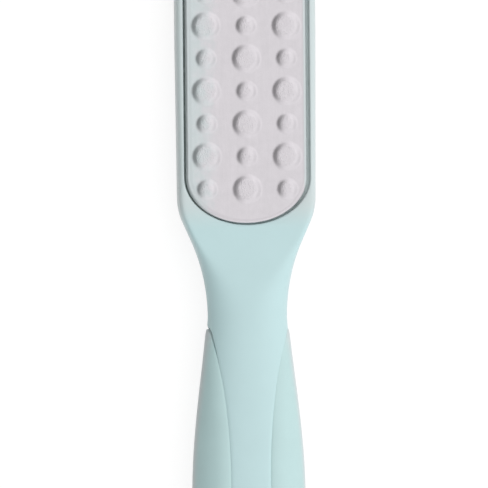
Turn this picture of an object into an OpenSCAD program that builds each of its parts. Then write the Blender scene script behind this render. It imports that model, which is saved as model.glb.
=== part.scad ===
// Foot file: a paddle head with an embossed metal rasp plate on its front and a fine
// abrasive sheet on its back, a waisted neck, and a flared handle with soft side grips.
// It lies on its back, +Z out of the rasp plate, +Y towards the head's end.

/* [Overall] */
// Overall length
total_l = 245; // [236:1:260]

/* [Head] */
// Width of the head at its widest, near the rounded end
head_w = 42.5; // [40:0.5:48]
// Width of the head where the shoulder starts
head_root_w = 41.7; // [40:0.1:46]
// Thickness of the head
head_t = 9; // [8.5:0.1:11]
// Length of the head's rounded end
head_cap_l = 16.8; // [14:0.1:20]
// Width of the rim beside the plate's pocket
rim_w = 2.25; // [1.9:0.05:3]

/* [Rasp plate] */
// Rows of bosses
boss_rows = 9; // [7:2:9]
// Distance between rows of bosses
row_pitch = 9.8; // [9:0.1:10.5]
// Diameter of a large boss at its foot
large_boss_d = 8; // [7:0.1:8.6]
// Diameter of a small boss at its foot
small_boss_d = 5.6; // [4.5:0.1:6.5]
// Height of the bosses above the plate
boss_h = 0.75; // [0.4:0.05:1]
// Plate's side edge to the foot of the outer large bosses
boss_side_margin = 1.9; // [1.2:0.1:2.5]
// Plate's end to the middle of the first row
boss_end_margin = 10; // [8.5:0.1:11]
// Thickness of the plate's sheet
plate_t = 0.5; // [0.4:0.05:0.7]
// Depth of the plate's turned-down edge
plate_skirt_h = 1.4; // [1:0.1:1.6]
// Radius of the plate's outer edge
plate_edge_r = 0.5; // [0.5:0.05:0.8]
// Length of the plate's rounded ends
plate_cap_l = 13.7; // [11:0.1:15]
// Gap beside the plate
plate_side_gap = 1; // [0.6:0.05:1.2]
// Gap at the plate's ends
plate_end_gap = 0.65; // [0.5:0.05:1.1]
// How far the plate stands above the rim
plate_proud = 0.55; // [0.3:0.05:0.8]
// Thickness of the foam tape under the plate
rasp_tape_t = 1.6; // [1.5:0.05:1.8]

/* [Fine file] */
// Thickness of the abrasive sheet
fine_sheet_t = 0.6; // [0.4:0.05:0.8]
// Thickness of the foam pad under the sheet
fine_pad_t = 1.6; // [1.3:0.05:1.8]
// Thickness of the adhesive film under the pad
fine_film_t = 0.2; // [0.15:0.05:0.3]
// Gap round the abrasive sheet
fine_gap = 0.5; // [0.3:0.05:0.8]
// How far the abrasive sheet stands above the rim
fine_proud = 0.5; // [0.3:0.05:0.8]

/* [Shoulder and neck] */
// Shoulder's start to the plate's lower end
shoulder_lead = 7.8; // [6:0.1:10]
// Steepest angle of the shoulder
shoulder_angle = 24; // [21:0.5:26]
// Radius of the shoulder's convex curve
shoulder_r = 18.6; // [15:0.1:22]
// Radius of the neck's concave curve
neck_r = 57; // [50:0.5:66]
// Width of the neck at its narrowest
neck_w = 23.9; // [21:0.1:26]
// Thickness of the neck
neck_t = 12.4; // [11.5:0.1:15]

/* [Handle] */
// Width of the handle over its grips
handle_w = 34.2; // [30:0.1:38]
// Thickness of the handle at its belly
handle_t = 18; // [16:0.5:21]
// Wall of the handle's shells
wall = 1.8; // [1.5:0.1:2]
// Thickness of the bulkheads across the handle
bulkhead_t = 1.6; // [1.2:0.1:2.2]
// Bays between the bulkheads
bays = 4; // [3:1:5]

/* [Grips] */
// Neck's narrowest place to the grips' upper tips
grip_lead = 3.6; // [2:0.1:8]
// Tail's start to the grips' lower tips
grip_tail_lead = 3.5; // [2:0.1:6]
// Thickness of the soft layer let into the shells
grip_t = 1.5; // [1.2:0.1:1.6]
// How far the grips stand proud of the shells
grip_proud = 0.4; // [0.2:0.05:0.5]
// Width of the hard panel between the grips
panel_w = 12; // [9:0.5:15]
// Width of the bevel that the shells have along the grips
seam_bevel = 0.2; // [0.1:0.05:0.4]
// Width of the rolled edge of the grips
grip_edge = 0.8; // [0.5:0.05:1.2]

/* [Tail] */
// Width of the handle at the tail
tail_w = 26.4; // [24:0.1:30]
// Thickness of the handle at the tail
tail_t = 10.6; // [9:0.1:13]
// Length of the tail's rounded end
tail_cap_l = 16; // [14:0.5:20]
// Diameter of the hanging hole
hang_hole_d = 6; // [5:0.1:7]
// Handle's end to the middle of the hanging hole
hang_inset = 11; // [9.5:0.1:12]
// Width of the chamfer at the hole's mouths
hang_chamfer = 0.9; // [0.6:0.1:1.2]

/* [Joining] */
// Diameter of the locating pins
pin_d = 3; // [2.5:0.1:3.5]
// Length of the locating pins
pin_l = 1.4; // [1.2:0.1:1.6]
// Diameter of the posts round the pins
post_d = 6.4; // [6:0.1:7.5]
// Clearance where one piece seats in another
fit = 0.05; // [0.03:0.01:0.1]

/* [Hidden] */
$fn = 48;

// Overrun of a cutting solid past the face that it cuts
over = 0.5;
// Space past the end of a pin
pin_relief = 0.3;
// Gap between the foam tape and the plate's turned-down edge
tape_gap = 0.4;
// Cells that lighten the head behind its pockets: ribs, floor, margin and counts
cell_rib_t = 1.3;
cell_floor_t = 1.2;
cell_margin = 3;
cell_columns = 3;
cell_rows = 6;
// Steps inside a boss's flank, as shares of its foot's radius and height
boss_land_share = 0.72;
boss_crest_share = [0.88, 0.72];
// Where the handle is widest, as a share of the way from the neck to the tail
belly_share = 0.555;
// Locating pins in the head, as shares of the plate's length from its middle
head_pin_shares = [-0.32, 0.32];
// Powers of the body's outline and sections, which have no size
head_flatness = 44;
handle_flatness = 2.3;
head_end_power = 20;
tail_end_power = 4;
flare_power = 1.3;
// How much of a quarter ellipse each half of a grip's seam follows
seam_share = 0.9;
// Limits of a grip's section near its tips, as shares of its half width and height
tip_share = 0.985;
lip_share = 0.75;
foot_share = 0.5;
// The middle of a grip's rolled edge, as shares of its width and height
roll_share = [0.25, 0.7];
// Facets: points over a section and stations along the body
section_steps = 16;
grip_steps = 10;
grip_stations = 24;
grip_ease_share = 0.6;
end_steps = 7;
end_turn = 89;
head_steps = 3;
shoulder_steps = 11;
flare_steps = 8;
tail_steps = 6;
outline_steps = 20;
edge_steps = 3;
boss_facets = 28;

// The head's layout, from its end down to the shoulder
top_y = total_l / 2;
end_y = -total_l / 2;
cap_y = top_y - head_cap_l;
plate_w = head_w - 2 * (rim_w + plate_side_gap);
plate_l = (boss_rows - 1) * row_pitch + 2 * boss_end_margin;
plate_y = top_y - rim_w - plate_end_gap - plate_l / 2;
pocket_w = plate_w + 2 * plate_side_gap;
pocket_l = plate_l + 2 * plate_end_gap;
pocket_cap_l = plate_cap_l + plate_end_gap;
column_pitch = (plate_w - 2 * boss_side_margin - large_boss_d) / 2;

// The shoulder is a convex arc, a straight flank and a concave arc down to the neck
shoulder_y = plate_y - plate_l / 2 + shoulder_lead;
arc_drop = (shoulder_r + neck_r) * (1 - cos(shoulder_angle));
flank_l = max((head_root_w - neck_w) / 2 - arc_drop, 0) / tan(shoulder_angle);
flank_top_y = shoulder_y - shoulder_r * sin(shoulder_angle);
flank_low_y = flank_top_y - flank_l;
neck_y = flank_low_y - neck_r * sin(shoulder_angle);
scoop_y = plate_y - pocket_l / 2;

// The handle flares from the neck to its belly, and narrows to the tail
belly_w = handle_w - 2 * grip_proud;
tail_y = end_y + tail_cap_l;
belly_y = mix(neck_y, tail_y, belly_share);
grip_y = neck_y - grip_lead;
grip_end_y = tail_y + grip_tail_lead;
seam_run = (grip_y - grip_end_y) / 2;
hang_y = end_y + hang_inset;
hollow_y = neck_y - bulkhead_t;
hollow_end_y = hang_y + hang_hole_d / 2 + hang_chamfer + 2 * wall;
skin = grip_t + wall;

function mix(a, b, t) = a + (b - a) * t;
function limit(t) = min(max(t, 0), 1);
function ease(t) = limit(t) * limit(t) * (3 - 2 * limit(t));
function swell(t) = pow(sin(90 * limit(t)), flare_power);
function bow(t, power) = sqrt(1 - pow(limit(t), power));
function sagitta(r, d) = r - sqrt(r * r - d * d);

// Half the body's width at y
function half_w(y) =
    y > cap_y ? head_w / 2 * bow((y - cap_y) / head_cap_l, 2) :
    y > shoulder_y ? mix(head_root_w, head_w, (y - shoulder_y) / (cap_y - shoulder_y)) / 2 :
    y > flank_top_y ? head_root_w / 2 - sagitta(shoulder_r, shoulder_y - y) :
    y > flank_low_y ? half_w(flank_low_y) + (y - flank_low_y) * tan(shoulder_angle) :
    y > neck_y ? neck_w / 2 + sagitta(neck_r, y - neck_y) :
    y > belly_y ? mix(neck_w, belly_w, swell((neck_y - y) / (neck_y - belly_y))) / 2 :
    y > tail_y ? mix(belly_w, tail_w, ease((belly_y - y) / (belly_y - tail_y))) / 2 :
    tail_w / 2 * bow((tail_y - y) / tail_cap_l, 2);

// Half the body's thickness at y
function half_t(y) =
    y > cap_y ? head_t / 2 * bow((y - cap_y) / head_cap_l, head_end_power) :
    y > neck_y ? mix(head_t, neck_t, ease((scoop_y - y) / (scoop_y - neck_y))) / 2 :
    y > belly_y ? mix(neck_t, handle_t, swell((neck_y - y) / (neck_y - belly_y))) / 2 :
    y > tail_y ? mix(handle_t, tail_t, ease((belly_y - y) / (belly_y - tail_y))) / 2 :
    tail_t / 2 * bow((tail_y - y) / tail_cap_l, tail_end_power);

// Power of the section's outline, high for the flat head and near 2 for the oval handle
function flatness(y) =
    1 / mix(1 / head_flatness, 1 / handle_flatness, ease((scoop_y - y) / (scoop_y - neck_y)));

// A point of the section at an angle, and the section's height and half width, grown by g
function section_point(y, a, g) =
    [sign(cos(a)) * (half_w(y) + g) * pow(abs(cos(a)), 2 / flatness(y)), y, (half_t(y) + g) * sin(a)];
function face_z(y, x, g) = (half_t(y) + g) * bow(x / (half_w(y) + g), flatness(y));
function side_x(y, z, g) = (half_w(y) + g) * pow(bow(abs(z) / (half_t(y) + g), 2), 2 / flatness(y));

// Levels, measured from the parting plane between the shells
base_z = handle_t / 2;
rim_z = face_z(plate_y, pocket_w / 2, 0);
plate_top_z = rim_z + plate_proud;
rasp_floor_z = plate_top_z - plate_t - rasp_tape_t;
fine_face_z = rim_z + fine_proud;
fine_floor_z = fine_face_z - fine_sheet_t - fine_pad_t - fine_film_t;

// Places along the body where its section is taken
function steps_between(a, b, n) = [for (k = [1:n]) mix(a, b, k / n)];
body_stations = concat(
    [for (k = [end_steps:-1:0]) cap_y + head_cap_l * sin(end_turn * k / end_steps)],
    steps_between(cap_y, shoulder_y, head_steps),
    steps_between(shoulder_y, neck_y, shoulder_steps),
    steps_between(neck_y, belly_y, flare_steps),
    steps_between(belly_y, tail_y, tail_steps),
    [for (k = [1:end_steps]) tail_y - tail_cap_l * sin(end_turn * k / end_steps)]);

// Skins rings of equal count, each turning left as seen from beyond the last, and closes
// both ends with a fan of triangles about a point midway between the ring's two sides
module loft(rings) {
    n = len(rings[0]);
    last = len(rings) - 1;
    middles = [for (ring = [rings[0], rings[last]]) mix(ring[floor(n / 4)], ring[floor(3 * n / 4)], 1 / 2)];
    polyhedron(
        points = concat([for (ring = rings) each ring], middles),
        faces = [for (i = [0:n - 1]) let(next = (i + 1) % n) each concat(
            [[i, next, (last + 1) * n]],
            [for (j = [0:last - 1]) let(a = j * n + i, b = j * n + next)
                each [[a, a + n, b], [b, a + n, b + n]]],
            [[last * n + next, last * n + i, (last + 1) * n + 1]])]);
}

// The half of the body on one side of the parting plane
module half_body() {
    turns = [for (k = [0:section_steps]) 180 * k / section_steps];
    loft([for (y = body_stations) [for (a = turns) section_point(y, a, 0)]]);
}

// The hollow of the handle, which runs past the parting plane
module handle_hollow() {
    n = section_steps - 4;
    inner_stations = [for (y = body_stations) if (y < hollow_y && y > hollow_end_y) y];
    places = concat([hollow_y], inner_stations, [hollow_end_y]);
    loft([for (y = places) concat(
        [[half_w(y) - skin, y, -over]],
        [for (k = [0:n]) section_point(y, 180 * k / n, -skin)],
        [[skin - half_w(y), y, -over]])]);
}

// A bar with parallel sides and rounded ends, drawn in by an inset
function bar_points(w, l, cap, inset) = concat(
    [for (k = [0:outline_steps]) let(a = 180 * k / outline_steps)
        [(w / 2 - inset) * cos(a), l / 2 - cap + (cap - inset) * sin(a)]],
    [for (k = [0:outline_steps]) let(a = 180 + 180 * k / outline_steps)
        [(w / 2 - inset) * cos(a), cap - l / 2 + (cap - inset) * sin(a)]]);

module pocket_bar(inset, low, high) {
    translate([0, plate_y, low])
        linear_extrude(high - low) polygon(bar_points(pocket_w, pocket_l, pocket_cap_l, inset));
}

// Turns what is built for the front over, so that it serves the back
module to_back() {
    rotate([0, 180, 0]) children();
}

// Repeats its children at each locating pin
module at_pins() {
    bay = (hollow_y - hollow_end_y) / bays;
    head_ys = [for (share = head_pin_shares) plate_y + share * plate_l];
    for (y = concat(head_ys, [mix(scoop_y, neck_y, 1 / 2), hollow_y - bay, hollow_end_y + bay]))
        translate([0, y, 0]) children();
}

// The space inside a handle shell, between its bulkheads and round its posts
module shell_hollow() {
    bay = (hollow_y - hollow_end_y) / bays;
    difference() {
        handle_hollow();
        for (k = [1:bays - 1])
            translate([-handle_w / 2, hollow_y - k * bay - bulkhead_t / 2, -2 * over])
                cube([handle_w, bulkhead_t, handle_t]);
        at_pins() translate([0, 0, -2 * over]) cylinder(d = post_d, h = handle_t);
    }
}

// The cells behind a pocket, open at the parting plane
module head_cells(floor_z) {
    cells_w = pocket_w - 2 * cell_margin;
    cells_l = pocket_l - 2 * cell_margin;
    cell_w = (cells_w - (cell_columns - 1) * cell_rib_t) / cell_columns;
    cell_l = (cells_l - (cell_rows - 1) * cell_rib_t) / cell_rows;
    difference() {
        intersection() {
            pocket_bar(cell_margin, -over, floor_z - cell_floor_t);
            for (i = [0:cell_columns - 1], j = [0:cell_rows - 1])
                translate([i * (cell_w + cell_rib_t) - cells_w / 2,
                           plate_y + j * (cell_l + cell_rib_t) - cells_l / 2, -2 * over])
                    cube([cell_w, cell_l, handle_t]);
        }
        at_pins() translate([0, 0, -2 * over]) cylinder(d = post_d, h = handle_t);
    }
}

// The hanging hole through a shell, with its chamfered mouth
module hang_hole() {
    mouth_z = face_z(hang_y, 0, 0);
    translate([0, hang_y, -over]) cylinder(d = hang_hole_d, h = mouth_z + 2 * over);
    translate([0, hang_y, mouth_z - hang_chamfer])
        cylinder(r1 = hang_hole_d / 2, r2 = hang_hole_d / 2 + hang_chamfer + over, h = hang_chamfer + over);
}

// Where the seam between a grip and the hard panel lies, beside the middle line. It bows
// out as a part of an ellipse, from the panel's waist to the silhouette at the grip's tips.
function seam_x(y) =
    let(tip_y = y > grip_y - seam_run ? grip_y : grip_end_y,
        spread = 1 - bow(seam_share * (1 - abs(y - tip_y) / seam_run), 2))
    mix(panel_w / 2, half_w(tip_y) + grip_proud, spread / (1 - bow(seam_share, 2)));

// Stations of a grip, closer together near its tips
grip_places = [for (k = [0:grip_stations])
    let(t = k / grip_stations)
    mix(grip_y, grip_end_y, mix(t, ease(t), grip_ease_share))];

// Section of the right grip at y: inside from the front to the back, and round outside.
// A recess for it is deeper and wider by the fit, and opens out past the body's face.
function grip_section(y, recess) =
    let(p = min(seam_x(y), tip_share * (half_w(y) + grip_proud)),
        inner = recess ? -grip_t - fit : -grip_t,
        outer = recess ? grip_proud + over : grip_proud,
        seam = recess ? p - fit : p,
        top_z = face_z(y, p, grip_proud),
        lip_z = max(face_z(y, p, 0) - seam_bevel, lip_share * top_z),
        edge_x = min(p + grip_edge, (p + half_w(y) + grip_proud) / 2),
        foot_z = max(face_z(y, p, inner), foot_share * top_z),
        mouth_x = recess ? seam - seam_bevel - outer : edge_x,
        roll_x = mix(p, edge_x, roll_share[0]),
        roll_z = mix(lip_z, face_z(y, edge_x, outer), roll_share[1]),
        turn = acos(pow(limit(mouth_x / (half_w(y) + outer)), flatness(y) / 2)))
    concat(
        [[seam, y, lip_z]],
        [for (k = [0:grip_steps]) let(z = mix(foot_z, -foot_z, k / grip_steps))
            [max(seam, side_x(y, z, inner)), y, z]],
        [[seam, y, -lip_z]],
        recess ? [] : [[roll_x, y, -roll_z]],
        [for (k = [0:grip_steps]) section_point(y, mix(-turn, turn, k / grip_steps), outer)],
        recess ? [] : [[roll_x, y, roll_z]]);

module grip_body(recess) {
    loft([for (y = grip_places) grip_section(y, recess)]);
}

module side_recesses() {
    grip_body(true);
    mirror([1, 0, 0]) grip_body(true);
}

module front_shell() {
    color("powderblue") translate([0, 0, base_z]) difference() {
        half_body();
        shell_hollow();
        side_recesses();
        pocket_bar(0, rasp_floor_z, head_t);
        head_cells(rasp_floor_z);
        hang_hole();
        at_pins() translate([0, 0, -over]) cylinder(d = pin_d + 2 * fit, h = pin_l + pin_relief + over);
    }
}

module back_shell() {
    color("powderblue") translate([0, 0, base_z]) {
        to_back() difference() {
            half_body();
            shell_hollow();
            side_recesses();
            pocket_bar(0, fine_floor_z, head_t);
            head_cells(fine_floor_z);
            hang_hole();
        }
        at_pins() translate([0, 0, -pin_l]) cylinder(d = pin_d, h = 2 * pin_l);
    }
}

module right_grip() {
    color("lightblue") translate([0, 0, base_z]) grip_body(false);
}

module left_grip() {
    color("lightblue") translate([0, 0, base_z]) mirror([1, 0, 0]) grip_body(false);
}

// A boss as a solid of revolution, or the hollow that its embossing leaves below
module boss(foot_r, hollow) {
    inset = hollow ? plate_t : 0;
    top = boss_h - inset;
    land_r = boss_land_share * foot_r - inset / 2;
    crest_r = boss_crest_share[0] * foot_r - inset;
    crest_z = mix(-inset, top, boss_crest_share[1]);
    low = hollow ? -plate_t - over : -plate_t / 2;
    rotate_extrude($fn = boss_facets) polygon([[0, low], [foot_r - inset, low], [foot_r - inset, -inset],
        [crest_r, crest_z], [land_r, top], [0, top]]);
}

// The bosses in staggered sizes: a large one has small ones beside it and along from it
module bosses(hollow) {
    for (row = [0:boss_rows - 1], column = [-1:1]) {
        y = plate_y + (row - (boss_rows - 1) / 2) * row_pitch;
        large = (row + column) % 2 == 0;
        translate([column * column_pitch, y, plate_top_z])
            boss((large ? large_boss_d : small_boss_d) / 2, hollow);
    }
}

// A sheet bent down along its edge, with a rounded fold
module plate_tray() {
    function ring(inset, z) =
        [for (p = bar_points(plate_w, plate_l, plate_cap_l, inset)) [p[0], plate_y + p[1], z]];
    difference() {
        loft(concat(
            [ring(0, plate_top_z - plate_skirt_h)],
            [for (k = [0:edge_steps]) let(a = 90 * k / edge_steps)
                ring(plate_edge_r * (1 - cos(a)), plate_top_z - plate_edge_r * (1 - sin(a)))]));
        translate([0, plate_y, 0]) linear_extrude(plate_top_z - plate_t)
            polygon(bar_points(plate_w, plate_l, plate_cap_l, plate_t));
    }
}

module rasp_plate() {
    color("silver") translate([0, 0, base_z]) difference() {
        union() {
            plate_tray();
            bosses(false);
        }
        bosses(true);
    }
}

module rasp_tape() {
    color("dimgray") translate([0, 0, base_z])
        pocket_bar(plate_side_gap + plate_t + tape_gap, rasp_floor_z, plate_top_z - plate_t);
}

module fine_sheet() {
    color("slategray") translate([0, 0, base_z])
        pocket_bar(fine_gap, -fine_face_z, fine_sheet_t - fine_face_z);
}

module fine_pad() {
    color("white") translate([0, 0, base_z])
        pocket_bar(fine_gap, fine_sheet_t - fine_face_z, -fine_floor_z - fine_film_t);
}

module fine_film() {
    color("ivory") translate([0, 0, base_z])
        pocket_bar(fine_gap, -fine_floor_z - fine_film_t, -fine_floor_z);
}

front_shell();
back_shell();
left_grip();
right_grip();
rasp_plate();
rasp_tape();
fine_sheet();
fine_pad();
fine_film();
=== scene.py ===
import math

import bpy
from mathutils import Matrix, Vector


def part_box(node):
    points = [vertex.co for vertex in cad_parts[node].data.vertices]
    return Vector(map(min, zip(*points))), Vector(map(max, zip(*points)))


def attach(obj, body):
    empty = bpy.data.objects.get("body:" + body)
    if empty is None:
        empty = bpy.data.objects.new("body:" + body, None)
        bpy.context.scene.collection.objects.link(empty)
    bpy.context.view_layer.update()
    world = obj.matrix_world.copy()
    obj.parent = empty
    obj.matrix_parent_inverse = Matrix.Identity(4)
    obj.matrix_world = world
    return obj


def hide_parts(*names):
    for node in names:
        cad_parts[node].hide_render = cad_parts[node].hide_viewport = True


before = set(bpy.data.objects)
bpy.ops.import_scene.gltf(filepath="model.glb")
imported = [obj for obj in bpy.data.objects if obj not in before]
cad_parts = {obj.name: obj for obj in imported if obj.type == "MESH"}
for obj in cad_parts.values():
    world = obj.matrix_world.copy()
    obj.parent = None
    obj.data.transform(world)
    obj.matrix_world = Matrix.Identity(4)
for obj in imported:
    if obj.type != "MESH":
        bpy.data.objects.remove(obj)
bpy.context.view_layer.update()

MM = 0.001


# Camera
# The photograph looks straight down on the rasp plate from a little to the left, through a
# long lens, and shows the file from the seventh row of bosses above the neck to the belly.
photo_width = 146.4 * MM
view_distance = 3.0
view_turn = math.radians(5)
view_roll = math.radians(0.52)
view_target = Vector((-1.08 * MM, 14.8 * MM, 12 * MM))

lens_data = bpy.data.cameras.new("photo_camera")
lens_data.sensor_width = 36
lens_data.lens = lens_data.sensor_width * view_distance / photo_width
lens_data.clip_end = 20
camera = bpy.data.objects.new("photo_camera", lens_data)
bpy.context.scene.collection.objects.link(camera)
view_back = Vector((-math.sin(view_turn), 0, math.cos(view_turn)))
camera.location = view_target + view_distance * view_back
view_matrix = Matrix.Rotation(-view_turn, 3, "Y") @ Matrix.Rotation(-view_roll, 3, "Z")
camera.rotation_euler = view_matrix.to_euler()
bpy.context.scene.camera = camera
bpy.context.scene.view_settings.view_transform = "Standard"


# Light
# The room is bright overhead and dark at the left horizon, turned a little towards the head, so
# the file's left flanks fall into a soft shade. It dims a little at the right horizon and grows
# brighter to both ends of the file. One large, weak lamp on the right adds soft shadows.
class Wire:
    """An output of a node. Sums, differences and products of wires add Math nodes."""

    def __init__(self, nodes, socket):
        self.nodes = nodes
        self.socket = socket

    def math(self, operation, *others):
        return self.nodes.math(operation, self, *others)

    def __add__(self, other):
        return self.math("ADD", other)

    __radd__ = __add__

    def __sub__(self, other):
        return self.math("SUBTRACT", other)

    def __rsub__(self, other):
        return self.nodes.math("SUBTRACT", other, self)

    def __mul__(self, other):
        return self.math("MULTIPLY", other)

    __rmul__ = __mul__


class Nodes:
    """The node tree of a material or of the room."""

    def __init__(self, owner):
        owner.use_nodes = True
        self.tree = owner.node_tree

    def add(self, kind, settings=None, inputs=None, output=0):
        """Adds a node, sets it up, and gives one of its outputs as a wire."""
        made = self.tree.nodes.new(kind)
        for setting, value in (settings or {}).items():
            setattr(made, setting, value)
        known = {socket.identifier: socket for socket in made.inputs}
        for key, value in (inputs or {}).items():
            socket = known[key] if key in known else made.inputs[key]
            if isinstance(value, Wire):
                self.tree.links.new(value.socket, socket)
            else:
                socket.default_value = value
        return Wire(self, made.outputs[output])

    def math(self, operation, *values):
        return self.add("ShaderNodeMath", {"operation": operation}, dict(enumerate(values)))


lamp_place = Vector((0.75, 0.5, 0.95))
lamp_data = bpy.data.lights.new("soft_lamp", "AREA")
lamp_data.size = 1.6
lamp_data.energy = 1.8
lamp = bpy.data.objects.new("soft_lamp", lamp_data)
lamp.location = lamp_place
lamp.rotation_euler = (-lamp_place).to_track_quat("-Z", "Y").to_euler()
bpy.context.scene.collection.objects.link(lamp)

dark_turn = math.radians(12)
dark_level = 0.13
bright_level = 1.48
right_level = 0.75
ends_gain = 0.2

room = bpy.data.worlds.new("room")
bpy.context.scene.world = room
room_nodes = Nodes(room)
toward = room_nodes.add("ShaderNodeTexCoord")
toward_right, toward_head = (
    room_nodes.add("ShaderNodeSeparateXYZ", {}, {"Vector": toward}, axis) for axis in "XY")
seen = room_nodes.add("ShaderNodeLightPath", output="Is Camera Ray")
from_dark = math.cos(dark_turn) * toward_right - math.sin(dark_turn) * toward_head
left_fade = room_nodes.add("ShaderNodeMapRange", {"interpolation_type": "SMOOTHSTEP"}, {
    "Value": from_dark, "From Min": -0.75, "From Max": -0.05, "To Min": dark_level, "To Max": bright_level})
right_fade = room_nodes.add("ShaderNodeMapRange", {"interpolation_type": "SMOOTHSTEP"}, {
    "Value": toward_right, "From Min": 0.5, "From Max": 1.0, "To Min": 1.0, "To Max": right_level})
room_level = left_fade * (right_fade + ends_gain * toward_head * toward_head)
room_light = room_nodes.add("ShaderNodeBackground", {}, {"Strength": seen + (1 - seen) * room_level})
room_nodes.tree.links.new(room_light.socket, room_nodes.tree.nodes["World Output"].inputs["Surface"])


# Floor
# A white table top. The camera and the metal see it nearly white with the file's soft shadow,
# and less light comes back from it on to the file's underside.
bpy.ops.object.select_all(action="DESELECT")
bpy.ops.mesh.primitive_plane_add(size=8, location=(0, 0, 0))
floor = bpy.context.object
floor.name = "floor"
floor_paint = bpy.data.materials.new("white_table")
floor_nodes = Nodes(floor_paint)
floor_shader = floor_nodes.tree.nodes["Principled BSDF"]
floor_shader.inputs["Roughness"].default_value = 0.9
floor_shader.inputs["Specular IOR Level"].default_value = 0.1
seen_rays = [floor_nodes.add("ShaderNodeLightPath", output=name) for name in (
    "Is Camera Ray", "Is Glossy Ray", "Is Transmission Ray")]
seen_by_eye = (seen_rays[0] + seen_rays[1] + seen_rays[2]).math("MINIMUM", 1.0)
floor_color = floor_nodes.add("ShaderNodeMix", {"data_type": "RGBA"}, {
    "Factor_Float": seen_by_eye, "A_Color": (0.72, 0.72, 0.72, 1), "B_Color": (0.2, 0.2, 0.2, 1)}, "Result")
floor_glow = floor_nodes.add("ShaderNodeMix", {"data_type": "RGBA"}, {
    "Factor_Float": seen_by_eye, "A_Color": (0, 0, 0, 1), "B_Color": (0.85, 0.85, 0.85, 1)}, "Result")
floor_nodes.tree.links.new(floor_color.socket, floor_shader.inputs["Base Color"])
floor_nodes.tree.links.new(floor_glow.socket, floor_shader.inputs["Emission Color"])
floor_shader.inputs["Emission Strength"].default_value = 1
floor.data.materials.append(floor_paint)


# Front shell
# The front half of the moulded body: a flat head with a sunk pocket, a waisted neck and an
# oval handle. It is injection-moulded in a pale mint plastic with a fine satin grain. Its head
# is painted paler and greyer, a painted sheen, and the groove round the plate is painted
# darker, a painted shade.
head_w = 42.5 * MM
head_root_w = 41.7 * MM
head_t = 9 * MM
head_cap_l = 16.8 * MM
head_taper_l = 50 * MM
neck_w = 23.9 * MM
neck_t = 12.4 * MM
neck_r = 57 * MM
shoulder_r = 18.6 * MM
shoulder_angle = math.radians(24)
shoulder_rise = 7.8 * MM
scoop_gap = 0.65 * MM
handle_t = 18 * MM
belly_w = 33.4 * MM
belly_share = 0.555
tail_w = 26.4 * MM
tail_t = 10.6 * MM
tail_cap_l = 16 * MM
head_flatness = 44
handle_flatness = 2.3
shoulder_power = 1.7
head_end_power = 20
tail_end_power = 4
flare_power = 1.3
parting_bevel = 0.12 * MM

mid_z = handle_t / 2
top_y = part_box("front_shell")[1].y
end_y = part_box("front_shell")[0].y
cap_y = top_y - head_cap_l
plate_low, plate_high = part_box("rasp_plate")
plate_y = (plate_low.y + plate_high.y) / 2
shoulder_y = plate_low.y + shoulder_rise
flank_top_y = shoulder_y - shoulder_r * math.sin(shoulder_angle)
arc_drop = (shoulder_r + neck_r) * (1 - math.cos(shoulder_angle))
flank_low_y = flank_top_y - ((head_root_w - neck_w) / 2 - arc_drop) / math.tan(shoulder_angle)
neck_y = flank_low_y - neck_r * math.sin(shoulder_angle)
scoop_y = plate_low.y - scoop_gap
tail_y = end_y + tail_cap_l
belly_y = neck_y + belly_share * (tail_y - neck_y)


def mix(a, b, t):
    """A value between two others, a share t of the way from the first."""
    return a + (b - a) * t


def limit(t):
    """A share kept between 0 and 1."""
    return min(max(t, 0), 1)


def ease(t):
    """A share that sets off and arrives gently."""
    return limit(t) ** 2 * (3 - 2 * limit(t))


def swell(t):
    """A share that grows as the neck flares into the handle, and then levels off."""
    return math.sin(math.pi / 2 * limit(t)) ** flare_power


def bow(t, power):
    """The height of a bow of height 1 at a share t of its reach. Power 2 makes a circle."""
    return math.sqrt(1 - limit(t) ** power)


def sagitta(r, d):
    """How far an arc has fallen away from its tangent at a distance along it."""
    return r - math.sqrt(r * r - d * d)


def half_width(y):
    """Half the body's width at a place along it."""
    if y > cap_y:
        return head_w / 2 * bow((y - cap_y) / head_cap_l, 2)
    if y > shoulder_y:
        return mix(head_root_w, head_w, limit((y - shoulder_y) / head_taper_l)) / 2
    if y > flank_top_y:
        return head_root_w / 2 - sagitta(shoulder_r, shoulder_y - y)
    if y > flank_low_y:
        return half_width(flank_low_y) + (y - flank_low_y) * math.tan(shoulder_angle)
    if y > neck_y:
        return neck_w / 2 + sagitta(neck_r, y - neck_y)
    if y > belly_y:
        return mix(neck_w, belly_w, swell((neck_y - y) / (neck_y - belly_y))) / 2
    if y > tail_y:
        return mix(belly_w, tail_w, ease((belly_y - y) / (belly_y - tail_y))) / 2
    return tail_w / 2 * bow((tail_y - y) / tail_cap_l, 2)


def half_thickness(y):
    """Half the body's thickness at a place along it."""
    if y > cap_y:
        return head_t / 2 * bow((y - cap_y) / head_cap_l, head_end_power)
    if y > neck_y:
        return mix(head_t, neck_t, ease((scoop_y - y) / (scoop_y - neck_y))) / 2
    if y > belly_y:
        return mix(neck_t, handle_t, swell((neck_y - y) / (neck_y - belly_y))) / 2
    if y > tail_y:
        return mix(handle_t, tail_t, ease((belly_y - y) / (belly_y - tail_y))) / 2
    return tail_t / 2 * bow((tail_y - y) / tail_cap_l, tail_end_power)


def flatness(y):
    """The power of the section's outline: high at the flat head, near 2 in the oval handle."""
    roundness = ease((scoop_y - y) / (scoop_y - neck_y)) ** shoulder_power
    return 1 / mix(1 / head_flatness, 1 / handle_flatness, roundness)


def section_point(y, angle, grow=0.0):
    """A point of the body's section, which starts on the right and runs over the front."""
    along = math.cos(angle)
    reach = (half_width(y) + grow) * abs(along) ** (2 / flatness(y))
    return (math.copysign(reach, along), y, mid_z + (half_thickness(y) + grow) * math.sin(angle))


def steps(start, end, count):
    """Evenly spaced values after the start, up to the end."""
    return [mix(start, end, k / count) for k in range(1, count + 1)]


merge_gap = 1e-8
sliver_gap = 0.001 * MM


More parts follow.
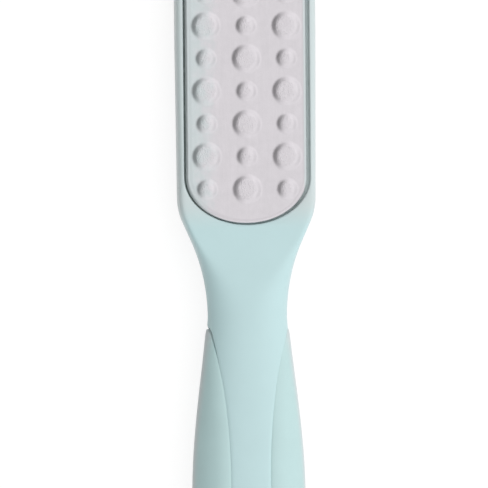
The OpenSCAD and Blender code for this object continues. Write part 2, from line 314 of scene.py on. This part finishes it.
def skin(name, rings):
    """Lays the rows of a grid on rings of points, sews them into a tube and closes its ends."""
    bpy.ops.object.select_all(action="DESELECT")
    bpy.ops.mesh.primitive_grid_add(x_subdivisions=len(rings[0]), y_subdivisions=len(rings) - 1, size=1)
    piece = bpy.context.object
    piece.name = name
    points = [point for ring in rings for point in ring + ring[:1]]
    for vertex, point in zip(piece.data.vertices, points):
        vertex.co = point
    bpy.ops.object.mode_set(mode="EDIT")
    bpy.ops.mesh.select_all(action="SELECT")
    bpy.ops.mesh.remove_doubles(threshold=merge_gap)
    bpy.ops.mesh.fill_holes(sides=0)
    bpy.ops.mesh.select_all(action="SELECT")
    bpy.ops.mesh.normals_make_consistent(inside=False)
    bpy.ops.object.mode_set(mode="OBJECT")
    return piece


def take(piece):
    """Makes a piece the only one that operators act on."""
    bpy.ops.object.select_all(action="DESELECT")
    piece.select_set(True)
    bpy.context.view_layer.objects.active = piece


def carve(piece, tool, operation="DIFFERENCE"):
    """Cuts a piece with a tool, or joins the tool to it, and clears the tool and slivers away."""
    take(piece)
    change = piece.modifiers.new("carve", "BOOLEAN")
    change.operation = operation
    change.solver = "EXACT"
    change.object = tool
    bpy.ops.object.modifier_apply(modifier=change.name)
    bpy.data.objects.remove(tool)
    bpy.ops.object.mode_set(mode="EDIT")
    bpy.ops.mesh.select_all(action="SELECT")
    bpy.ops.mesh.remove_doubles(threshold=sliver_gap)
    bpy.ops.mesh.dissolve_degenerate(threshold=sliver_gap)
    bpy.ops.object.mode_set(mode="OBJECT")


def smooth(piece, degrees=35, flat_area=20 * MM * MM):
    """Shades a piece smooth up to an angle, apart from its large flat faces."""
    take(piece)
    bpy.ops.object.shade_smooth_by_angle(angle=math.radians(degrees))
    for face in piece.data.polygons:
        face.use_smooth = face.use_smooth and face.area < flat_area


section_steps = 48
cap_turn = math.radians(89)
stations = (
    [cap_y + head_cap_l * math.sin(cap_turn * k / 26) for k in range(26, -1, -1)]
    + steps(cap_y, shoulder_y, 16)
    + steps(shoulder_y, neck_y, 44)
    + steps(neck_y, belly_y, 44)
    + steps(belly_y, tail_y, 36)
    + [tail_y - tail_cap_l * math.sin(cap_turn * k / 22) for k in range(1, 23)]
)


def half_ring(y):
    """The front half of the section, with a small bevel along the parting plane."""
    bevel = min(parting_bevel, half_thickness(y) / 3, half_width(y) / 3)
    lift = math.asin(bevel / half_thickness(y))
    edge = section_point(y, lift)[0] - bevel
    turns = [mix(lift, math.pi - lift, k / section_steps) for k in range(section_steps + 1)]
    return [(edge, y, mid_z)] + [section_point(y, turn) for turn in turns] + [(-edge, y, mid_z)]


def pick(piece, wanted):
    """Selects the vertices of a piece in edit mode whose places are wanted."""
    bpy.ops.mesh.select_mode(type="VERT")
    bpy.ops.mesh.select_all(action="DESELECT")
    bpy.ops.object.mode_set(mode="OBJECT")
    for vertex in piece.data.vertices:
        vertex.select = wanted(vertex.co)
    bpy.ops.object.mode_set(mode="EDIT")


def tower(name, place, half_x, half_y, cap, profile, vertices=96):
    """Raises a closed solid from an outline, which spreads and climbs as its profile says.

    The outline is an ellipse whose two halves are drawn apart along Y, so its sides are straight.
    """
    bpy.ops.object.select_all(action="DESELECT")
    x, y = place
    first_spread, first_z = profile[0]
    bpy.ops.mesh.primitive_circle_add(
        vertices=vertices, radius=1, fill_type="NGON",
        location=(x, y, first_z), rotation=(0, 0, math.pi / vertices),
    )
    piece = bpy.context.object
    piece.name = name
    bpy.ops.object.transform_apply()
    bpy.ops.object.mode_set(mode="EDIT")
    bpy.ops.transform.resize(value=(half_x, cap, 1), center_override=(x, y, first_z))
    for side in (1, -1):
        pick(piece, lambda spot: (spot.y - y) * side > 0)
        bpy.ops.transform.translate(value=(0, side * (half_y - cap), 0))
    bpy.ops.mesh.select_all(action="SELECT")
    bpy.ops.transform.resize(
        value=(1 + first_spread / half_x, 1 + first_spread / half_y, 1), center_override=(x, y, first_z)
    )
    for (spread, z), (next_spread, next_z) in zip(profile, profile[1:]):
        wider = (half_x + next_spread) / (half_x + spread)
        longer = (half_y + next_spread) / (half_y + spread)
        bpy.ops.mesh.extrude_region_move(TRANSFORM_OT_translate={"value": (0, 0, next_z - z)})
        bpy.ops.transform.resize(value=(wider, longer, 1), center_override=(x, y, next_z))
    bpy.ops.mesh.select_all(action="SELECT")
    bpy.ops.mesh.normals_make_consistent(inside=False)
    bpy.ops.object.mode_set(mode="OBJECT")
    return piece


pocket_half_w = 19 * MM
pocket_half_l = plate_y - scoop_y
pocket_cap = 14.35 * MM
rasp_floor_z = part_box("rasp_tape")[0].z
rim_rise = 4.476 * MM
rim_z = mid_z + rim_rise
lip_r = 0.38 * MM
front_foot_r = 0.6 * MM
tool_clear = 3 * MM


def lip_profile(floor_z, face_z, r, clear_z, foot_r=0.0):
    """A wall with a fillet at its foot and a mouth that rolls outwards, for a cutting tool."""
    turns = [math.pi / 2 * k / 5 for k in range(6)]
    foot = [(-foot_r * (1 - math.sin(turn)), floor_z + foot_r * (1 - math.cos(turn))) for turn in turns]
    return (foot if foot_r else [(0, floor_z)]) + [
        (0, face_z - r), (0.13 * r, face_z - 0.5 * r), (0.5 * r, face_z - 0.13 * r),
        (1.8 * r, face_z + 0.3 * r), (1.8 * r, clear_z),
    ]


def pocket_tool(floor_z, foot_r):
    """The solid that sinks a pocket into the head of either half."""
    profile = lip_profile(floor_z, rim_z, lip_r, rim_z + tool_clear, foot_r)
    return tower("pocket_tool", (0, plate_y), pocket_half_w, pocket_half_l, pocket_cap, profile)


hang_r = 3 * MM
hang_inset = 11 * MM
hang_lip_r = 0.9 * MM
hang_start = 1 * MM
hang_y = end_y + hang_inset


def body_half(name):
    """The front half of the body with its hanging hole, before its pocket is sunk."""
    piece = skin(name, [half_ring(y) for y in stations])
    mouth_z = mid_z + half_thickness(hang_y)
    profile = lip_profile(mid_z - hang_start, mouth_z, hang_lip_r, mouth_z + tool_clear)
    carve(piece, tower("hole_tool", (0, hang_y), hang_r, hang_r, hang_r, profile, vertices=64))
    return piece


# The seam with a grip bows out along a part of an ellipse, from the waist of the hard panel
# to the silhouette at the grip's tips. On the left, side -1, it is open round the upper tip. On
# the right, side 1, it is deep below and closes flush towards the top.
grip_top_gap = 3.6 * MM
grip_end_gap = 3.5 * MM
grip_top_y = neck_y - grip_top_gap
grip_end_y = tail_y + grip_end_gap
grip_proud = 0.4 * MM
grip_depth = 1.5 * MM
panel_w = 12 * MM
seam_share = 0.9
seam_run = (grip_top_y - grip_end_y) / 2
tip_share = 0.9995
tip_l = 4 * MM
closed_depth = 0.08
open_depth = 1.35
left_depth = 0.85
closed_l = 6 * MM
closing_l = 40 * MM


def seam_x(y):
    """The seam's distance from the middle of the front, at a place along the file."""
    tip_y = grip_top_y if y > grip_top_y - seam_run else grip_end_y
    spread = 1 - bow(seam_share * (1 - abs(y - tip_y) / seam_run), 2)
    return mix(panel_w / 2, half_width(tip_y) + grip_proud, spread / (1 - bow(seam_share, 2)))


def tip_distance(y):
    """The distance along the file to the nearer tip of a grip, negative past the tips."""
    return min(grip_top_y - y, y - grip_end_y)


def seam_angle(y):
    """The angle at which the seam crosses the body's section, nearly none at the grips' tips."""
    inset = grip_proud * (1 - ease(tip_distance(y) / tip_l))
    reach = min((seam_x(y) - inset) / half_width(y), tip_share)
    return math.acos(reach ** (flatness(y) / 2))


def arc_length(y, start, end):
    """The length of the section's outline between two angles."""
    points = [Vector(section_point(y, mix(start, end, k / 12))) for k in range(13)]
    return sum((b - a).length for a, b in zip(points, points[1:]))


def seam_depth(y, side):
    """How deep the seam is, against the common depth: on the right it closes towards the top."""
    if side < 0:
        return left_depth
    return mix(closed_depth, open_depth, ease((grip_top_y - y - closed_l) / closing_l))


seam_gap = 0.025 * MM
end_gap = 0.15 * MM
tip_rooms = {1: 0.1 * MM, -1: 1.0 * MM}
tip_room_l = 8 * MM
tip_opening_l = 1.8 * MM
tip_least = 0.05
side_gaps = {1: 0, -1: 0.5 * MM}
side_gap_l = 13 * MM
lip_drop = 0.14 * MM
recess_rise = 1.5 * MM

# The lip's places are in millimetres out from the seam, each with its share of the drop.
lip_shape = ((0, 1), (0.12, 0.68), (0.32, 0.32), (0.6, 0.09), (0.9, 0))
lip_end = 1.1


def recess_ring(y, side):
    """The section of a grip's recess, as on the right, with a lip that rolls down to the grip.

    The recess's upper tip lies a little past the grip's, and its seam is wider on the left there.
    """
    down = grip_top_y - y
    past_tip = tip_rooms[side] * (1 - ease(down / tip_room_l))
    narrow = max(bow(-tip_distance(y - past_tip) / end_gap, 2), tip_least)
    seam = narrow * seam_angle(min(max(y - past_tip, grip_end_y), grip_top_y))
    opening = ease((down + past_tip) / tip_opening_l) * (1 - ease(down / side_gap_l))
    gap = narrow * (seam_gap + side_gaps[side] * opening)
    turn_per_length = seam / arc_length(y, 0, seam)
    drop = lip_drop * seam_depth(y, side)
    edge = [
        (seam + (gap + narrow * spread * MM) * turn_per_length, -drop * share)
        for spread, share in lip_shape
    ]
    edge.append((seam + (gap + narrow * lip_end * MM) * turn_per_length, recess_rise))
    face = [(mix(edge[-1][0], -edge[-1][0], k / 41), edge[-1][1]) for k in range(1, 41)]
    inner = seam + gap * turn_per_length
    inside = [(mix(-inner, inner, k / 25), -grip_depth - gap) for k in range(26)]
    ring = edge + face + [(-angle, grow) for angle, grow in reversed(edge)] + inside
    return [section_point(y, angle, grow) for angle, grow in ring]


tip_offsets = [share * MM for share in (0, 0.04, 0.12, 0.25, 0.4, 0.6, 0.8, 1.1, 1.4, 1.8, 2.2)]
leaf_steps = 96


def leaf_stations(upper_tip_y):
    """Places along a grip or its recess, which lie closer together near both tips."""
    return (
        [upper_tip_y - offset for offset in tip_offsets]
        + steps(upper_tip_y - tip_offsets[-1], grip_end_y + tip_offsets[-1], leaf_steps)
        + [grip_end_y + offset for offset in reversed(tip_offsets[:-1])]
    )


def recess_tool(side):
    """The solid that makes room for a grip in a shell, side 1 on the right and -1 on the left."""
    upper_tip_y = grip_top_y + tip_rooms[side]
    ends = [end_gap * math.cos(math.pi / 2 * k / 4) for k in range(4)]
    places = [upper_tip_y + end for end in ends] + leaf_stations(upper_tip_y)
    places += [grip_end_y - end for end in reversed(ends)]
    rings = [[(side * x, y, z) for x, y, z in recess_ring(y, side)] for y in places]
    return skin("recess_tool", rings)


front_shell = body_half("front_shell_visual")
carve(front_shell, pocket_tool(rasp_floor_z, front_foot_r))
for side in (1, -1):
    carve(front_shell, recess_tool(side))
smooth(front_shell)


class Finish(Nodes):
    """A material whose plain values are set on its shader, and whose patterns are wires."""

    def __init__(self, name, color, roughness, **plain):
        self.material = bpy.data.materials.new(name)
        super().__init__(self.material)
        self.shader = self.tree.nodes["Principled BSDF"]
        self.shader.inputs["Base Color"].default_value = (*color, 1)
        self.shader.inputs["Roughness"].default_value = roughness
        for socket, value in plain.items():
            self.shader.inputs[socket.replace("_", " ")].default_value = value
        self.place = self.add("ShaderNodeTexCoord", output="Object")
        self.x, self.y, self.z = (
            self.add("ShaderNodeSeparateXYZ", {}, {"Vector": self.place}, axis) for axis in "XYZ")

    def reach(self, center_y, half_x, half_y, cap):
        """How far out a place lies in an outline as tower draws it, 1 being on the outline."""
        across = self.x * (1 / half_x)
        along = ((self.y - center_y).math("ABSOLUTE") - (half_y - cap)).math("MAXIMUM", 0) * (1 / cap)
        return (across * across + along * along).math("SQRT")

    def noise(self, size, detail=2.0, roughness=0.5, stretch=(1, 1, 1)):
        """Noise about zero, from -0.5 to 0.5, whose lumps have about the given size in metres."""
        place = self.add("ShaderNodeMapping", {}, {"Vector": self.place, "Scale": stretch})
        return self.add("ShaderNodeTexNoise", {}, {
            "Vector": place, "Scale": 1 / size, "Detail": detail, "Roughness": roughness}) - 0.5

    def grains(self, size):
        """Separate grains of about the given size, from 0 between them to 1 on their tops."""
        near = self.add("ShaderNodeTexVoronoi", {"feature": "F1"}, {
            "Vector": self.place, "Scale": 1 / size})
        return self.ramp(near, 0.15, 0.6, at_low=1, at_high=0)

    def ramp(self, value, low, high, at_low=0.0, at_high=1.0):
        """Turns a value that goes from low to high smoothly into one from at_low to at_high."""
        return self.add("ShaderNodeMapRange", {"interpolation_type": "SMOOTHSTEP"}, {
            "Value": value, "From Min": low, "From Max": high, "To Min": at_low, "To Max": at_high})

    def blend(self, factor, first, second):
        """A colour between two others."""
        inputs = {"Factor_Float": factor, "A_Color": first, "B_Color": second}
        return self.add("ShaderNodeMix", {"data_type": "RGBA"}, inputs, "Result")

    def feed(self, socket, value):
        self.tree.links.new(value.socket, self.shader.inputs[socket])

    def bump(self, height, depth):
        """Raises the surface by a pattern of heights, of which 1 is the depth in metres."""
        self.feed("Normal", self.add("ShaderNodeBump", {}, {"Height": height, "Distance": depth}))


def srgb(red, green, blue):
    """A colour as a picture gives it, turned into light."""
    shares = [level / 255 for level in (red, green, blue)]
    return tuple(
        share / 12.92 if share <= 0.04045 else ((share + 0.055) / 1.055) ** 2.4
        for share in shares
    )


def rgba(color, gain=1.0):
    """A colour for a socket, made lighter or darker by a gain."""
    return (*(gain * part for part in color), 1)


mint = srgb(190, 218, 220)
# A paler, greyer tone painted over the head: a painted sheen.
head_sheen_tone = srgb(204, 213, 213)
# A dark grey-green painted into the groove round the plate: a painted shade.
groove_shade_tone = srgb(114, 131, 128)
groove_shade_start = 0.25 * MM
groove_shade_full = 0.9 * MM
body_rough = 0.34
body_finish = Finish(
    "mint_satin_plastic", mint, body_rough, IOR=1.46, Sheen_Weight=0.3, Sheen_Roughness=0.35)
body_cloud = body_finish.noise(11 * MM, detail=3.0, roughness=0.6)
body_grain = body_finish.noise(0.19 * MM, roughness=0.6)
mint_color = body_finish.blend(0.5 + 1.2 * body_cloud, rgba(mint, 0.975), rgba(mint, 1.025))
from_middle = (body_finish.z - mid_z).math("ABSOLUTE")
groove_reach = body_finish.reach(plate_y, pocket_half_w, pocket_half_l, pocket_cap)
in_groove = (
    body_finish.ramp(
        from_middle, rim_z - mid_z - groove_shade_full, rim_z - mid_z - groove_shade_start, at_low=1, at_high=0)
    * body_finish.ramp(groove_reach, 1.003, 1.01, at_low=1, at_high=0)
)
# The head is painted in that tone, fading out below the plate: a painted sheen.
head_sheen = 0.85 * body_finish.ramp(body_finish.y, plate_low.y - 3 * MM, plate_low.y + 7 * MM)
body_color = body_finish.blend(head_sheen, mint_color, rgba(head_sheen_tone))
# The painted shade in the groove, in random patches, strongest on the left and weak on the right and at the
# groove's lower end.
groove_shade = (
    (0.7 + 0.8 * body_finish.noise(1.4 * MM, detail=3.0, roughness=0.6))
    * body_finish.ramp(body_finish.x, 14 * MM, 18.5 * MM, at_low=1, at_high=0.1)
    * body_finish.ramp(body_finish.y, plate_low.y, plate_low.y + 9 * MM, at_low=0.2, at_high=1)
)
body_finish.feed("Base Color", body_finish.blend(in_groove * groove_shade, body_color, rgba(groove_shade_tone)))
body_finish.feed("Roughness", body_rough + 0.12 * body_cloud + 0.1 * body_grain + 0.3 * in_groove)
body_finish.bump(body_grain, depth=0.01 * MM)


def finish_piece(piece, node, finish):
    """Gives a new piece its finish and sets it in the frame in place of its CAD node."""
    piece.data.materials.clear()
    piece.data.materials.append(finish.material)
    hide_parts(node)
    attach(piece, "root")


finish_piece(front_shell, "front_shell", body_finish)


# Back shell
# The back half, moulded in the same plastic, with a pocket for the three layers of the fine
# file. The halves are welded together halfway through the thickness, where a hairline shows.
fine_floor_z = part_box("fine_film")[1].z
back_foot_r = 0.35 * MM


def turn_over(piece):
    """Turns a piece over about the middle of the body's thickness."""
    take(piece)
    bpy.ops.object.mode_set(mode="EDIT")
    bpy.ops.mesh.select_all(action="SELECT")
    bpy.ops.transform.rotate(value=math.pi, orient_axis="Y", center_override=(0, 0, mid_z))
    bpy.ops.object.mode_set(mode="OBJECT")


back_shell = body_half("back_shell_visual")
carve(back_shell, pocket_tool(2 * mid_z - fine_floor_z, back_foot_r))
turn_over(back_shell)
for side in (1, -1):
    carve(back_shell, recess_tool(side))
smooth(back_shell)
finish_piece(back_shell, "back_shell", body_finish)


# Side grips
# Two leaf-shaped inlays of soft-touch rubber, moulded over the handle's sides from front to
# back. Their faces stand a little proud and their edges roll down into the seam. Along their
# outer sides they are painted paler and greyer, a painted sheen.
grip_edge = 0.45 * MM
grip_dip = 0.22 * MM
grip_lip_w = 1.5 * MM
grip_lip_share = 0.3
grip_swell_w = 3.4 * MM
dip_fade_l = 10 * MM


def roll(distance, end_distance, dip):
    """How far a grip's face stands out: it dips into the seam and swells slowly away from it."""
    near = min(distance, end_distance)
    swelling = min(distance / grip_swell_w, end_distance / grip_edge)
    sinking = dip * (bow(1 - limit(near / grip_lip_w), 2) - 1)
    return sinking + grip_proud * math.sin(math.pi / 2 * limit(swelling))


def grip_ring(y, side):
    """The closed section of a grip, as on the right: over its face to the back, and back inside."""
    dip = grip_dip * seam_depth(y, side) * ease(tip_distance(y) / dip_fade_l)
    seam = seam_angle(y)
    half_length = arc_length(y, 0, seam)
    edge_turn = seam * min(grip_lip_w / half_length, grip_lip_share)
    turns = [edge_turn * (1 - math.cos(math.pi / 2 * k / 4)) for k in range(5)]
    turns += steps(edge_turn, seam, 22)
    half = [(seam - turn, roll(half_length * turn / seam, tip_distance(y), dip)) for turn in turns]
    face = half + [(-angle, grow) for angle, grow in reversed(half[:-1])]
    inside = [(mix(-seam, seam, k / 24), -grip_depth) for k in range(25)]
    return [section_point(y, angle, grow) for angle, grow in face + inside]


grip_tone = srgb(186, 214, 214)
# A paler, greyer tone painted along the grips' outer sides: a painted sheen.
edge_sheen_tone = srgb(200, 206, 207)
grip_rough = 0.36
grip_finish = Finish(
    "soft_touch_rubber", grip_tone, grip_rough, IOR=1.45, Sheen_Weight=0.25, Sheen_Roughness=0.35)
grip_cloud = grip_finish.noise(7 * MM, detail=3.0, roughness=0.6)
grip_grain = grip_finish.noise(0.28 * MM, detail=3.0, roughness=0.65)
grip_color = grip_finish.blend(0.5 + 1.2 * grip_cloud, rgba(grip_tone, 0.97), rgba(grip_tone, 1.03))
from_outer_side = (grip_finish.z - mid_z).math("ABSOLUTE")
# The grips are painted in that tone near their outer sides, in random patches: a painted sheen.
edge_sheen = (0.75 + 0.5 * grip_cloud) * grip_finish.ramp(
    from_outer_side, 1.2 * MM, 4.2 * MM, at_low=1, at_high=0)
grip_finish.feed("Base Color", grip_finish.blend(edge_sheen, grip_color, rgba(edge_sheen_tone)))
grip_finish.feed("Roughness", grip_rough + 0.12 * grip_cloud + 0.12 * grip_grain)
grip_finish.bump(grip_grain, depth=0.018 * MM)

for name, side in (("right_grip", 1), ("left_grip", -1)):
    grip = skin(name + "_visual", [
        [(side * x, y, z) for x, y, z in grip_ring(y, side)]
        for y in leaf_stations(grip_top_y)
    ])
    smooth(grip, degrees=40)
    finish_piece(grip, name, grip_finish)


# Rasp tape
# A die-cut pad of dark double-sided foam that fills the rasp plate from below and holds it
# in the pocket. Its cut edges are drawn in a little, as soft foam is by a punch.
def measure(node):
    """The middle of a CAD node along the file, its half width and length, and its levels."""
    low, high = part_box(node)
    return (low.y + high.y) / 2, high.x, (high.y - low.y) / 2, low.z, high.z


def soft_edge(low_z, high_z, draw):
    """The cut edge of a soft layer, drawn in by some distance halfway up."""
    return [(-draw * math.sin(math.pi * k / 6), mix(low_z, high_z, k / 6)) for k in range(7)]


tape_y, tape_half_w, tape_half_l, tape_low_z, tape_high_z = measure("rasp_tape")
tape_cap = pocket_cap - (pocket_half_w - tape_half_w)
tape_draw = 0.15 * MM
rasp_tape = tower(
    "rasp_tape_visual", (0, tape_y), tape_half_w, tape_half_l, tape_cap,
    soft_edge(tape_low_z, tape_high_z, tape_draw),
)
smooth(rasp_tape)
tape_tone = srgb(66, 69, 71)
tape_finish = Finish("dark_foam_tape", tape_tone, 0.85)
tape_cells = tape_finish.grains(0.35 * MM)
tape_finish.feed("Base Color", tape_finish.blend(tape_cells, rgba(tape_tone, 0.7), rgba(tape_tone, 1.2)))
tape_finish.bump(tape_cells, depth=0.05 * MM)
finish_piece(rasp_tape, "rasp_tape", tape_finish)


# Rasp plate
# A stamped stainless sheet, bent down along its edge and embossed with rows of round bosses,
# large and small in turn. Their tops are etched to a fine grit that files the skin.
plate_half_w = 18.2 * MM
plate_spare_l = 0.17 * MM
plate_half_l = (plate_high.y - plate_low.y) / 2 + plate_spare_l
plate_cap = 13.8 * MM
plate_rise = 0.55 * MM
plate_top_z = rim_z + plate_rise
plate_skirt = 1.4 * MM
plate_fold_w = 0.8 * MM
plate_fold_h = 0.62 * MM
plate_x = -0.25 * MM
middle_column_x = -0.1 * MM
plate_sheet = 0.5 * MM
skirt_margin = 0.01 * MM
boss_radii = {True: 4.0 * MM, False: 2.75 * MM}
boss_crowns = {True: 1.2, False: 1.5}
rows_each_way = 4
row_pitch = 9.8 * MM
column_pitch = 12.1 * MM
coined_line = ((-0.95, 0.0), (-1.1, 0.02), (-1.25, 0.0))

# The fold's profile runs from the foot of the skirt to the coined line, which is in millimetres.
fold = [(0, plate_top_z - plate_skirt)]
for k in range(7):
    turn = math.pi / 2 * k / 6
    fold.append((-plate_fold_w * (1 - math.cos(turn)), plate_top_z - plate_fold_h * (1 - math.sin(turn))))
fold += [(spread * MM, plate_top_z - drop * MM) for spread, drop in coined_line]
rasp_plate = tower("rasp_plate_visual", (plate_x, plate_y), plate_half_w, plate_half_l, plate_cap, fold)


def boss(foot_r, crown):
    """An embossed boss: a filleted foot, and a crest that rounds off slowly into its land.

    A crown above 1 stretches the part above the crest towards the boss's middle.
    """
    shape = [
        (0.68, -0.3), (0.68, 0.0), (0.48, 0.02), (0.28, 0.07), (0.1, 0.145),
        (-0.08, 0.245), (-0.25, 0.35), (-0.42, 0.455), (-0.6, 0.56), (-0.8, 0.66),
        (-1.0, 0.735), (-1.2, 0.785), (-1.45, 0.82), (-1.85, 0.835),
    ]
    crest = -0.45
    profile = [
        ((spread if spread > crest else crest + crown * (spread - crest)) * MM, plate_top_z + rise * MM)
        for spread, rise in shape
    ]
    return tower("boss", (0, 0), foot_r, foot_r, foot_r, profile, vertices=40)


patterns = {large: boss(boss_radii[large], boss_crowns[large]) for large in (True, False)}
bosses = []
for row in range(-rows_each_way, rows_each_way + 1):
    for column in (-1, 0, 1):
        copy = patterns[(row + column) % 2 == 0].copy()
        copy.data = copy.data.copy()
        place = (middle_column_x + column * column_pitch, plate_y + row * row_pitch, 0)
        copy.data.transform(Matrix.Translation(place))
        bpy.context.scene.collection.objects.link(copy)
        bosses.append(copy)
for pattern in patterns.values():
    bpy.data.objects.remove(pattern)
take(bosses[0])
for copy in bosses:
    copy.select_set(True)
bpy.ops.object.join()
carve(rasp_plate, bosses[0], "UNION")
bpy.ops.object.mode_set(mode="EDIT")
pick(rasp_plate, lambda spot: spot.z < plate_top_z - plate_skirt + skirt_margin)
bpy.ops.mesh.delete(type="ONLY_FACE")
bpy.ops.object.mode_set(mode="OBJECT")
sheet = rasp_plate.modifiers.new("sheet", "SOLIDIFY")
sheet.thickness = plate_sheet
sheet.offset = -1
sheet.use_even_offset = True
bpy.ops.object.modifier_apply(modifier=sheet.name)
smooth(rasp_plate, degrees=30)

steel = srgb(205, 201, 205)
# A mint tint for the steel: a painted reflection of the mint body round the plate.
mint_reflection_gain = Vector((0.9, 1.03, 1.0))
plate_rough = 0.4
plate_finish = Finish("stamped_stainless", steel, plate_rough, Metallic=0.7)
etch_cloud = plate_finish.noise(2.2 * MM, detail=3.0, roughness=0.6)
etch_fine = plate_finish.noise(0.32 * MM, detail=3.0, roughness=0.6)
streaks = plate_finish.noise(0.9 * MM, detail=3.0, roughness=0.6, stretch=(1, 0.07, 1))
plate_reach = plate_finish.reach(plate_y, plate_half_w, plate_half_l, plate_cap)
# A narrow band over the coined line near the plate's edge is painted darker: a painted shade.
coined_shade = (
    plate_finish.ramp(plate_reach, 0.9, 0.93)
    * plate_finish.ramp(plate_reach, 0.94, 0.97, at_low=1, at_high=0)
)
on_boss = plate_finish.ramp(plate_finish.z, plate_top_z + 0.5 * MM, plate_top_z + 0.7 * MM)
grit = plate_finish.grains(0.42 * MM) * on_boss
etch = 0.5 + 1.3 * etch_cloud + 0.8 * etch_fine + 0.9 * streaks - 0.7 * coined_shade + 0.5 * grit + 0.25 * on_boss
steel_color = plate_finish.blend(etch, rgba(steel, 0.93), rgba(steel, 1.05))
mint_reflecting_steel = Vector(steel) * mint_reflection_gain
painted_reflection_color = plate_finish.blend(etch, rgba(mint_reflecting_steel, 0.93), rgba(mint_reflecting_steel, 1.05))
# The plate's left part and right edge are painted mint-tinted: a painted reflection of the mint rim.
reflection_left = plate_finish.ramp(
    plate_finish.x + 9 * MM * etch_cloud, -17 * MM, -8 * MM, at_low=1, at_high=0)
reflection_right_edge = plate_finish.ramp(plate_finish.x, 16.8 * MM, 17.4 * MM)
plate_finish.feed("Base Color", plate_finish.blend(reflection_left + reflection_right_edge, steel_color, painted_reflection_color))
plate_finish.feed("Roughness", plate_rough + 0.16 * etch_cloud + 0.14 * etch_fine + 0.1 * grit)
plate_finish.bump(0.03 * etch_fine + 0.05 * grit, depth=1 * MM)
finish_piece(rasp_plate, "rasp_plate", plate_finish)


# Fine film
# A clear double-sided film that sticks the foam pad to the floor of the back pocket. Only
# its bright cut edge shows in the groove.
film_y, film_half_w, film_half_l, film_low_z, film_high_z = measure("fine_film")
fine_cap = pocket_cap - (pocket_half_w - film_half_w)
film_draw = 0.02 * MM
fine_film = tower(
    "fine_film_visual", (0, film_y), film_half_w, film_half_l, fine_cap,
    soft_edge(film_low_z, film_high_z, film_draw),
)
smooth(fine_film)
film_tone = srgb(222, 228, 226)
film_rough = 0.16
film_finish = Finish("clear_film", film_tone, film_rough, IOR=1.47, Coat_Weight=0.4)
film_streak = film_finish.noise(3 * MM, stretch=(1, 0.2, 1))
film_color = film_finish.blend(0.5 + film_streak, rgba(film_tone, 0.95), rgba(film_tone, 1.03))
film_finish.feed("Base Color", film_color)
film_finish.feed("Roughness", film_rough + 0.1 * film_streak)
finish_piece(fine_film, "fine_film", film_finish)


# Fine pad
# A layer of white closed-cell foam under the fine sheet, which lets it give with the skin.
# It is punched to the same outline, and its edge swells out a little between the layers.
pad_y, pad_half_w, pad_half_l, pad_low_z, pad_high_z = measure("fine_pad")
pad_bulge = 0.12 * MM
fine_pad = tower(
    "fine_pad_visual", (0, pad_y), pad_half_w - pad_bulge, pad_half_l - pad_bulge, fine_cap - pad_bulge,
    soft_edge(pad_low_z, pad_high_z, -pad_bulge),
)
smooth(fine_pad)
pad_tone = srgb(232, 234, 230)
pad_rough = 0.75
pad_finish = Finish("white_foam", pad_tone, pad_rough)
pad_cells = pad_finish.grains(0.28 * MM)
pad_cloud = pad_finish.noise(2.5 * MM, detail=3.0, roughness=0.6)
pad_finish.feed("Base Color", pad_finish.blend(
    0.6 * pad_cells + pad_cloud + 0.3, rgba(pad_tone, 0.84), rgba(pad_tone, 1.02)))
pad_finish.feed("Roughness", pad_rough + 0.2 * pad_cloud)
pad_finish.bump(pad_cells, depth=0.04 * MM)
finish_piece(fine_pad, "fine_pad", pad_finish)


# Fine sheet
# The fine side of the file: grey mineral grit bonded on a stiff sheet and punched out, so
# its rim is turned over a little by the punch. It is stuck on the foam pad.
sheet_y, sheet_half_w, sheet_half_l, sheet_low_z, sheet_high_z = measure("fine_sheet")
punched_rim = [
    (-0.16 * MM, sheet_low_z), (-0.05 * MM, sheet_low_z + 0.04 * MM),
    (0, sheet_low_z + 0.15 * MM), (0, sheet_high_z),
]
fine_sheet = tower(
    "fine_sheet_visual", (0, sheet_y), sheet_half_w, sheet_half_l, fine_cap, punched_rim)
smooth(fine_sheet)
grit_dark = srgb(88, 95, 98)
grit_light = srgb(158, 166, 168)
grit_rough = 0.85
sheet_finish = Finish("fine_grit", grit_dark, grit_rough)
grit_grains = sheet_finish.grains(0.2 * MM)
grit_cloud = sheet_finish.noise(5 * MM, detail=4.0, roughness=0.6)
grit_spark = sheet_finish.ramp(sheet_finish.noise(0.16 * MM, detail=1.0), 0.1, 0.3)
sheet_finish.feed("Base Color", sheet_finish.blend(
    0.55 * grit_grains + 0.35 * grit_spark + 0.5 * grit_cloud, rgba(grit_dark), rgba(grit_light)))
sheet_finish.feed("Roughness", grit_rough - 0.45 * grit_spark + 0.2 * grit_cloud)
sheet_finish.bump(grit_grains + 0.5 * grit_spark, depth=0.07 * MM)
finish_piece(fine_sheet, "fine_sheet", sheet_finish)
